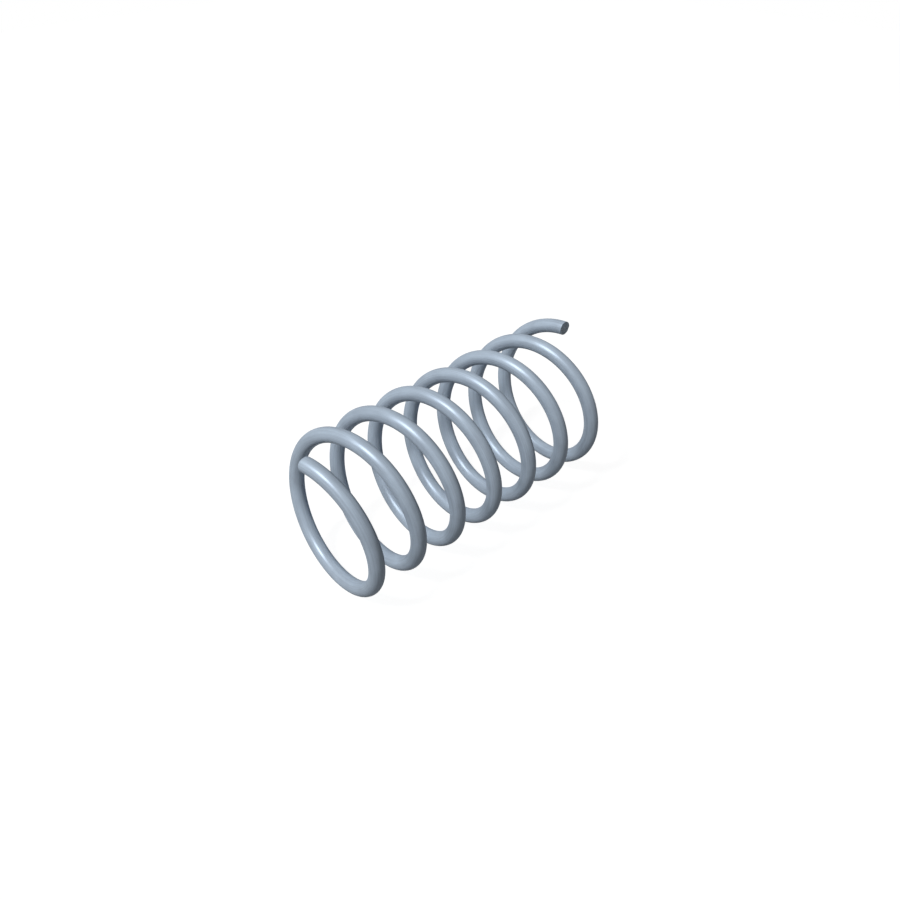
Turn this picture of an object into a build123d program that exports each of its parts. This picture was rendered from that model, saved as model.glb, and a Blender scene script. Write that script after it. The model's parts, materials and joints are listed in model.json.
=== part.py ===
from build123d import *

import os

# Small compression spring, coiled from one length of round steel wire.
#
# Every coil is active: the pitch is the same from end to end, and both ends are
# plain and open, which means that the wire is simply cut off square, with no
# closed or ground coil for a seat. It is wound right-handed.
#
# Millimetres. The spring lies on its side, as it comes to rest on a bench: its
# axis runs along X, +Z is up, and the origin is on the bench, under the middle
# of the coil.

# Driving dimensions
wire_diameter = 1.04      # round drawn wire, 0.041 in
outside_diameter = 11.11  # over the coils, 7/16 in
free_length = 25.4        # over both cut ends with no load on it, 1 in
coils = 7                 # whole turns, so that the two ends stand in line

# Worked out from them
mean_diameter = outside_diameter - wire_diameter  # to the middle of the wire
pitch = (free_length - wire_diameter) / coils     # advance of one turn, plain ends
coiled_length = pitch * coils                     # from the middle of one cut to the other
axis_height = outside_diameter / 2                # every coil touches the bench


def wire_line():
    """Centre line of the wire: a right-hand helix along X that starts and ends at the top."""
    upright = Helix(pitch=pitch, height=coiled_length, radius=mean_diameter / 2)
    lying = Rotation(0, -90, 0) * upright
    return Pos(coiled_length / 2, 0, axis_height) * lying


def wire_section():
    """Round section of the wire, drawn as four quarter arcs so that its side is four even strips."""
    quarter = CenterArc((0, 0), wire_diameter / 2, start_angle=0, arc_size=90)
    return make_face([Rotation(0, 0, 90 * i) * quarter for i in range(4)])


def coiled_wire():
    """The section swept along the centre line, which leaves both ends cut square across."""
    line = wire_line()
    first_cut = Plane(origin=line @ 0, x_dir=(0, 0, 1), z_dir=line % 0)
    return sweep(first_cut * wire_section(), path=line, is_frenet=True)


spring_wire = coiled_wire()
spring_wire.label = "spring_wire"

os.makedirs("parts", exist_ok=True)
export_step(spring_wire, "parts/spring_wire.step")
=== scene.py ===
import json
import math

import bmesh
import bpy
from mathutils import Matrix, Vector, noise


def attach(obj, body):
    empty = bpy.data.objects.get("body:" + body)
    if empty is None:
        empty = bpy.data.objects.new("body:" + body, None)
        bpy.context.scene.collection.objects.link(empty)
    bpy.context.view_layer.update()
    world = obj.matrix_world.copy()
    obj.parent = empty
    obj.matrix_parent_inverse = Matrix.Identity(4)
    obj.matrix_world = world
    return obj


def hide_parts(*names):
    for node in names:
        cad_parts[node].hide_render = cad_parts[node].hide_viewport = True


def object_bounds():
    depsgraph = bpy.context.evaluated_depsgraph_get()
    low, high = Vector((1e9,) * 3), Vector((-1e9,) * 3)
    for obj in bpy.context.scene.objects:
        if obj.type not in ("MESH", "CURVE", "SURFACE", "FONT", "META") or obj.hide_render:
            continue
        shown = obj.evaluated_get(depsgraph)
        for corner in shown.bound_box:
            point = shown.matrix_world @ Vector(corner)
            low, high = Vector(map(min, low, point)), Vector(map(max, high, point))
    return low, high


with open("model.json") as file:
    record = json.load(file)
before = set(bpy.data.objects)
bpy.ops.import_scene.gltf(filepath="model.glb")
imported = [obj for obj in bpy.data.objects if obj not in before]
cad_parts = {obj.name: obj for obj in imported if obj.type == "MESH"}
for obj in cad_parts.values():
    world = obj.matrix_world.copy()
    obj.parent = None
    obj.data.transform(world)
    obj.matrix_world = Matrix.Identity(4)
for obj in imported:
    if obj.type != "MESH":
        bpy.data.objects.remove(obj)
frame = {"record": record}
cad_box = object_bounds()


# ---------------------------------------------------------------- camera
# The spring lies on the bench and is looked down on from its near left corner,
# along the line that sees its length, its width and its height alike.
low, high = cad_box
middle = (low + high) / 2
towards_camera = Vector((-1, -1, 1)).normalized()
camera_distance = 0.0633

camera_data = bpy.data.cameras.new("camera")
camera_data.lens = 36
camera_data.sensor_width = 36
camera_data.shift_y = -0.0004  # the spring sits a hair above the middle of the view
camera_data.clip_start = camera_distance / 100
camera_data.clip_end = camera_distance * 100
camera = bpy.data.objects.new("camera", camera_data)
camera.location = middle + towards_camera * camera_distance
camera.rotation_euler = towards_camera.to_track_quat("Z", "Y").to_euler()
bpy.context.scene.collection.objects.link(camera)
bpy.context.scene.camera = camera


# ---------------------------------------------------------------- spring wire
# One length of hard drawn round steel wire, coiled cold along its whole length and
# sheared off at both ends. The thin phosphate film that it was drawn with makes it
# blue-grey and satin, and only the two cuts show bare steel.
mm_in_a_metre = 1000
mounts = {mount["name"]: mount for mount in frame["record"]["mounts"]}
outside_radius = mounts["coil_outside"]["dims"]["r_mm"] / mm_in_a_metre
bore_radius = mounts["coil_bore"]["dims"]["r_mm"] / mm_in_a_metre
free_length = mounts["coil_bore"]["dims"]["length_mm"] / mm_in_a_metre
axis_height = mounts["coil_bore"]["pos_m"][2]
coils = 7

wire_radius = (outside_radius - bore_radius) / 2
mean_radius = (outside_radius + bore_radius) / 2
pitch = (free_length - 2 * wire_radius) / coils
coiled_length = pitch * coils
lead_angle = math.atan2(pitch, math.tau * mean_radius)
wire_in_a_turn = math.hypot(pitch, math.tau * mean_radius)

points_round_wire = 64
steps_in_a_turn = 120
smooth_up_to = math.radians(35)  # faces that meet at more than this show an edge

cut_slot = 1            # the bare steel of the cuts comes second among the wire's finishes
rim_rounding = 0.00002  # where the film ends at the rim of a cut
rim_steps = 3           # rings of faces round that rim
rings_in_a_cut = 10     # rings of faces between that rim and the middle of the cut

# On a cut, the two depths are in metres, and the rest is in wire radii from its
# middle, with the outside of the coil up.
roll_over = 0.000015     # how far the blade drew the outer side in before it bit
roll_over_height = 0.55  # where that starts
tear_depth = 0.00003     # how far the torn part lies below the part that was sheared
tear_height = 0.05       # where the shearing ended, on average
tear_wave = 0.12         # how far the line between the two wanders up and down
tear_wave_rate = 2.6     # how fast it wanders, in radians to a wire radius
above_tear = 0.06        # how far above that line the drop to the torn part starts
below_tear = 0.14        # how far below it the drop ends
torn_lumps = 5           # how many lumps the torn part has in a wire radius


class Socket:
    """One value in a material. Sums written with it add their Math nodes, and node() adds the others."""

    def __init__(self, tree, output=None):
        self.tree = tree
        self.output = output

    def node(self, kind, settings, inputs, output=0):
        added = self.tree.nodes.new(kind)
        for name, value in settings.items():
            setattr(added, name, value)
        for name, value in inputs.items():
            if isinstance(value, Socket):
                self.tree.links.new(value.output, added.inputs[name])
            else:
                added.inputs[name].default_value = value
        return Socket(self.tree, added.outputs[output] if added.outputs else None)

    def maths(self, operation, first, second):
        return self.node("ShaderNodeMath", {"operation": operation}, {0: first, 1: second})

    def __add__(self, other):
        return self.maths("ADD", self, other)

    def __radd__(self, other):
        return self.maths("ADD", other, self)

    def __sub__(self, other):
        return self.maths("SUBTRACT", self, other)

    def __rsub__(self, other):
        return self.maths("SUBTRACT", other, self)

    def __mul__(self, other):
        return self.maths("MULTIPLY", self, other)

    def __rmul__(self, other):
        return self.maths("MULTIPLY", other, self)


def new_finish(name):
    """A material with nothing in it yet, and the start that its nodes are added from."""
    finish = bpy.data.materials.new(name)
    finish.use_nodes = True
    finish.node_tree.nodes.clear()
    return finish, Socket(finish.node_tree)


def pattern(start, waves, detail):
    """Noise from 0 to 1 that follows the wire, with so many waves in a mm outwards, sideways and along."""
    place = start.node("ShaderNodeAttribute", {"attribute_name": "on_straight_wire"}, {}, "Vector")
    stretched = start.node("ShaderNodeVectorMath", {"operation": "MULTIPLY"}, {0: place, 1: waves})
    return start.node("ShaderNodeTexNoise", {}, {"Vector": stretched, "Scale": 1, "Detail": detail})


def colour_between(start, share, first, second):
    """Colours are mixed by their own node, because a Math node turns a colour grey."""
    return start.node("ShaderNodeMix", {"data_type": "RGBA"}, {0: share, 6: first, 7: second}, 2)


def embossed(start, depth, strength, height):
    return start.node("ShaderNodeBump", {}, {"Distance": depth, "Strength": strength, "Height": height})


def phosphated_steel():
    """Blue-grey satin film, with the fine lines that the drawing die left along the wire."""
    dark_film = (0.35, 0.415, 0.498, 1)
    light_film = (0.47, 0.562, 0.667, 1)
    die_line_depth = 0.000005

    finish, start = new_finish("phosphated_steel")
    die_lines = pattern(start, (14, 14, 0.15), 3)
    film_cloud = pattern(start, (1.6, 1.6, 0.7), 3)
    film_grain = pattern(start, (42, 42, 30), 2)
    # A pattern is a half on average, so taking off 1.6 keeps the shade about half way too.
    shade = 1.6 * die_lines + 1.4 * film_cloud + 1.2 * film_grain - 1.6
    shader = start.node(
        "ShaderNodeBsdfPrincipled",
        {},
        {
            "Base Color": colour_between(start, shade, dark_film, light_film),
            "Roughness": 0.3 + 0.12 * die_lines + 0.1 * film_cloud,
            "Metallic": 0.19,
            "Specular IOR Level": 0,
            "Normal": embossed(start, die_line_depth, 1, 0.8 * die_lines + 0.2 * film_grain),
        },
    )
    start.node("ShaderNodeOutputMaterial", {}, {"Surface": shader})
    return finish


def sheared_steel():
    """Bare steel: fine scores where the blade sheared it and rough grain where it tore, with painted
    glints on the raised scores and grain facets, and painted shade between the scores and in the grain's
    hollows.
    """
    # Painted light: the light colours are painted glints on the raised scores and grain facets, and the
    # dark ones are painted shade between the scores and in the grain's hollows.
    painted_shade_between_scores = (0.045, 0.065, 0.085, 1)
    painted_glint_on_scores = (0.16, 0.21, 0.27, 1)
    painted_shade_in_grain_hollows = (0.05, 0.065, 0.08, 1)
    painted_glint_on_grain_facets = (0.3, 0.36, 0.42, 1)
    grain_depth = 0.00002

    finish, start = new_finish("sheared_steel")
    torn = start.node("ShaderNodeAttribute", {"attribute_name": "torn"}, {}, "Fac")
    scores = pattern(start, (1.5, 30, 1), 3)
    grain = pattern(start, (16, 16, 16), 4)
    # The painted glint and shade follow the same noise as the bump's heights, light where the relief
    # stands up and dark where it sinks.
    scores_painted_glint_and_shade = colour_between(start, 2.4 * scores - 0.7, painted_shade_between_scores, painted_glint_on_scores)
    grain_painted_glint_and_shade = colour_between(start, 2.6 * grain - 0.8, painted_shade_in_grain_hollows, painted_glint_on_grain_facets)
    shader = start.node(
        "ShaderNodeBsdfPrincipled",
        {},
        {
            "Base Color": colour_between(start, torn, scores_painted_glint_and_shade, grain_painted_glint_and_shade),
            "Roughness": 0.36 + 0.25 * torn,
            "Metallic": 0.4,
            "Specular IOR Level": 0.25,
            "Normal": embossed(start, grain_depth, 0.6, 0.3 * scores + 0.7 * torn * grain),
        },
    )
    start.node("ShaderNodeOutputMaterial", {}, {"Surface": shader})
    return finish


def coil_up_wire():
    """The round section, turned square to the wire, is wound seven times round the X axis."""
    bpy.ops.object.select_all(action="DESELECT")
    bpy.ops.mesh.primitive_circle_add(
        vertices=points_round_wire,
        radius=wire_radius,
        location=(-coiled_length / 2, 0, mean_radius),
        rotation=(math.pi / 2, 0, lead_angle),
    )
    wire = bpy.context.object
    wire.name = wire.data.name = "coiled_wire"
    bpy.ops.object.transform_apply()
    winding = wire.modifiers.new("winding", "SCREW")
    winding.axis = "X"
    winding.angle = math.tau
    winding.screw_offset = pitch
    winding.iterations = coils
    winding.steps = steps_in_a_turn
    winding.render_steps = steps_in_a_turn
    bpy.ops.object.modifier_apply(modifier=winding.name)
    wire.location.z = axis_height
    bpy.ops.object.transform_apply()
    return wire


def select_cuts(wire):
    """Only the faces of the two cuts have more than four sides, until they are cut up themselves."""
    bpy.ops.mesh.select_all(action="DESELECT")
    bpy.ops.mesh.select_mode(type="FACE")
    mesh = bmesh.from_edit_mesh(wire.data)
    for face in mesh.faces:
        face.select_set(len(face.verts) > 4)
    bmesh.update_edit_mesh(wire.data)


def close_ends(wire):
    """Each open end gets its cut: a flat face with a rounded rim, in rings down to its middle.

    The edge between the wire and that rim is marked, so that the wire shines evenly right up to it.
    """
    bpy.ops.object.mode_set(mode="EDIT")
    bpy.ops.mesh.select_all(action="SELECT")
    bpy.ops.mesh.fill_holes(sides=0)  # however many sides the hole has
    bpy.ops.mesh.select_all(action="SELECT")
    bpy.ops.mesh.normals_make_consistent(inside=False)
    select_cuts(wire)
    wire.active_material_index = cut_slot
    bpy.ops.object.material_slot_assign()
    bpy.ops.mesh.region_to_loop()
    bpy.ops.mesh.bevel(offset=rim_rounding, segments=rim_steps, affect="EDGES")
    bpy.ops.mesh.region_to_loop()
    bpy.ops.mesh.mark_sharp()
    select_cuts(wire)
    for _ in range(rings_in_a_cut - 1):
        bpy.ops.mesh.inset(thickness=(wire_radius - rim_rounding) / rings_in_a_cut)
    bpy.ops.mesh.poke()
    bpy.ops.object.mode_set(mode="OBJECT")


def smooth_step(start, end, value):
    share = min(max((value - start) / (end - start), 0), 1)
    return share * share * (3 - 2 * share)


def shear_ends(wire):
    """The blade came from outside the coil: it drew that side in, sheared half way and tore the rest.

    Its edge lay along the coil, so each cut is turned by the lead angle, from square to the wire
    into a plane through the coil's axis.
    """
    torn_share = wire.data.attributes.new("torn", "FLOAT", "POINT")
    a_little_over = 1.01  # so that no point of the cut is left out
    for end in (-1, 1):
        centre = Vector((end * coiled_length / 2, 0, axis_height + mean_radius))
        outwards = end * Vector((math.sin(lead_angle), -math.cos(lead_angle), 0))
        across = outwards.cross(Vector((0, 0, 1)))
        for vertex in wire.data.vertices:
            place = vertex.co - centre
            behind_cut = -place.dot(outwards)
            if place.length > a_little_over * wire_radius or behind_cut > a_little_over * rim_rounding:
                continue
            height = place.z / wire_radius
            side = place.dot(across) / wire_radius
            tear_line = tear_height + tear_wave * math.sin(tear_wave_rate * side + end)
            torn = smooth_step(tear_line + above_tear, tear_line - below_tear, height)
            uneven = 0.75 + 0.4 * noise.noise(Vector((side, height, end)) * torn_lumps)
            drawn_in = roll_over * smooth_step(roll_over_height, 1, height)
            torn_away = tear_depth * torn * uneven
            vertex.co -= outwards * (drawn_in + torn_away)
            vertex.co.y -= place.x * math.tan(lead_angle)
            torn_share.data[vertex.index].value = torn


def remember_straight_wire(wire):
    """Each point keeps its place on the wire before coiling, in mm: two across, and the last along."""
    straight = wire.data.attributes.new("on_straight_wire", "FLOAT_VECTOR", "POINT")
    for vertex, kept in zip(wire.data.vertices, straight.data):
        x, y, z = vertex.co - Vector((-coiled_length / 2, 0, axis_height))
        turn = math.atan2(-y, z) / math.tau
        turn += round(x / pitch - turn)  # the whole turns before it
        out = math.hypot(y, z) - mean_radius
        side = (x - turn * pitch) * math.cos(lead_angle)
        kept.vector = Vector((out, side, turn * wire_in_a_turn)) * mm_in_a_metre


def unroll_flat(wire):
    """Lays the wire's skin out flat for painting: a strip for each turn, and a last one for the cuts."""
    strips = coils + 1
    strip_length = 0.996  # of the whole width, so that a little is free at each end
    strip_width = 0.97    # of the height that each strip has to itself
    cut_radius = 0.45     # of that height too
    near_cut = 0.25       # where the middle of each cut comes along the last strip
    far_cut = 0.75
    turn_mm = wire_in_a_turn * mm_in_a_metre
    wire_radius_mm = wire_radius * mm_in_a_metre

    straight = wire.data.attributes["on_straight_wire"].data
    flat = wire.data.uv_layers.new(name="OFBake")
    for face in wire.data.polygons:
        corners = [straight[vertex].vector for vertex in face.vertices]
        centre = sum(corners, Vector()) / len(corners)
        strip = min(int(centre.z / turn_mm), coils - 1)
        seam_side = math.atan2(centre.y, centre.x) / math.tau
        for loop, (out, side, along) in zip(face.loop_indices, corners):
            if face.material_index == cut_slot:
                across = near_cut if strip == 0 else far_cut
                across += cut_radius * side / wire_radius_mm / strips
                up = coils + 0.5 + cut_radius * out / wire_radius_mm
            else:
                turn = min(max(along / turn_mm, 0), coils)
                round_wire = math.atan2(side, out) / math.tau
                round_wire -= round(round_wire - seam_side)  # no face is spread across the seam
                across = 0.5 + strip_length * (turn - strip - 0.5)
                up = strip + 0.5 + strip_width * round_wire
            flat.uv[loop].vector = (across, up / strips)


wire = coil_up_wire()
wire.data.materials.append(phosphated_steel())
wire.data.materials.append(sheared_steel())
close_ends(wire)
shear_ends(wire)
remember_straight_wire(wire)
unroll_flat(wire)
bpy.ops.object.shade_smooth_by_angle(angle=smooth_up_to)
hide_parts("spring_wire")
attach(wire, "root")


# ---------------------------------------------------------------- bench
# A plain pale bench top of no particular make, under the spring. It shows white,
# keeps the soft shadow of the coils and throws little light back up at them.
bench_size = 0.4
lit_white = 0.36     # how white the lamp's light makes it, and less so in a shadow
steady_white = 0.77  # how white it shows with no lamp on it, which adds to that
thrown_back = 0.05   # how much of the light on it comes back up

bpy.ops.object.select_all(action="DESELECT")
bpy.ops.mesh.primitive_plane_add(size=bench_size, location=(0, 0, low.z))
bench = bpy.context.object
bench.name = bench.data.name = "bench"
bpy.ops.object.transform_apply()


def grey(level):
    return (level, level, level, 1)


def seen(start):
    """1 for what the eye sees, straight or in a gloss or through glass, and 0 for light thrown on."""
    path = "ShaderNodeLightPath"
    return (
        start.node(path, {}, {}, "Is Camera Ray")
        + start.node(path, {}, {}, "Is Glossy Ray")
        + start.node(path, {}, {}, "Is Transmission Ray")
    )


def bench_top():
    """White with a soft shadow for what sees it, and nearly black for the light that it throws on."""
    finish, start = new_finish("bench_top")
    steady = start.node("ShaderNodeEmission", {}, {"Color": grey(1), "Strength": steady_white})
    lit = start.node("ShaderNodeBsdfDiffuse", {}, {"Color": grey(lit_white)})
    shows = start.node("ShaderNodeAddShader", {}, {0: steady, 1: lit})
    throws = start.node("ShaderNodeBsdfDiffuse", {}, {"Color": grey(thrown_back)})
    surface = start.node("ShaderNodeMixShader", {}, {0: seen(start), 1: throws, 2: shows})
    start.node("ShaderNodeOutputMaterial", {}, {"Surface": surface})
    return finish


bench.data.materials.append(bench_top())


# ---------------------------------------------------------------- light
# A round soft box high on the near left, in a plain white room. Two parts of its
# light in three cast no shadow, so that the coils hardly shade one another.
lamp_direction = Vector((-0.6, 0.04, 0.8)).normalized()
lamp_distance = 2
lamp_diameter = 0.4
# At this many watts, a white face that is turned to the lamp shows as white.
white_level = math.pi ** 2 * lamp_distance ** 2
lamp_level = 0.94 * white_level
shadow_share = 1 / 3
room_light = 0.05


def hang_lamp(name, share, casts_shadow):
    lamp_data = bpy.data.lights.new(name, "AREA")
    lamp_data.shape = "DISK"
    lamp_data.size = lamp_diameter
    lamp_data.energy = share * lamp_level
    lamp_data.use_shadow = casts_shadow
    lamp = bpy.data.objects.new(name, lamp_data)
    lamp.location = middle + lamp_direction * lamp_distance
    lamp.rotation_euler = lamp_direction.to_track_quat("Z", "Y").to_euler()
    bpy.context.scene.collection.objects.link(lamp)


hang_lamp("soft_box", shadow_share, True)
hang_lamp("soft_box_fill", 1 - shadow_share, False)

room = bpy.data.worlds.new("room")
bpy.context.scene.world = room
room.use_nodes = True
room.node_tree.nodes.clear()
start = Socket(room.node_tree)
room_level = room_light + (1 - room_light) * seen(start)
air = start.node("ShaderNodeBackground", {}, {"Color": grey(1), "Strength": room_level})
start.node("ShaderNodeOutputWorld", {}, {"Surface": air})
bpy.context.scene.view_settings.view_transform = "Standard"
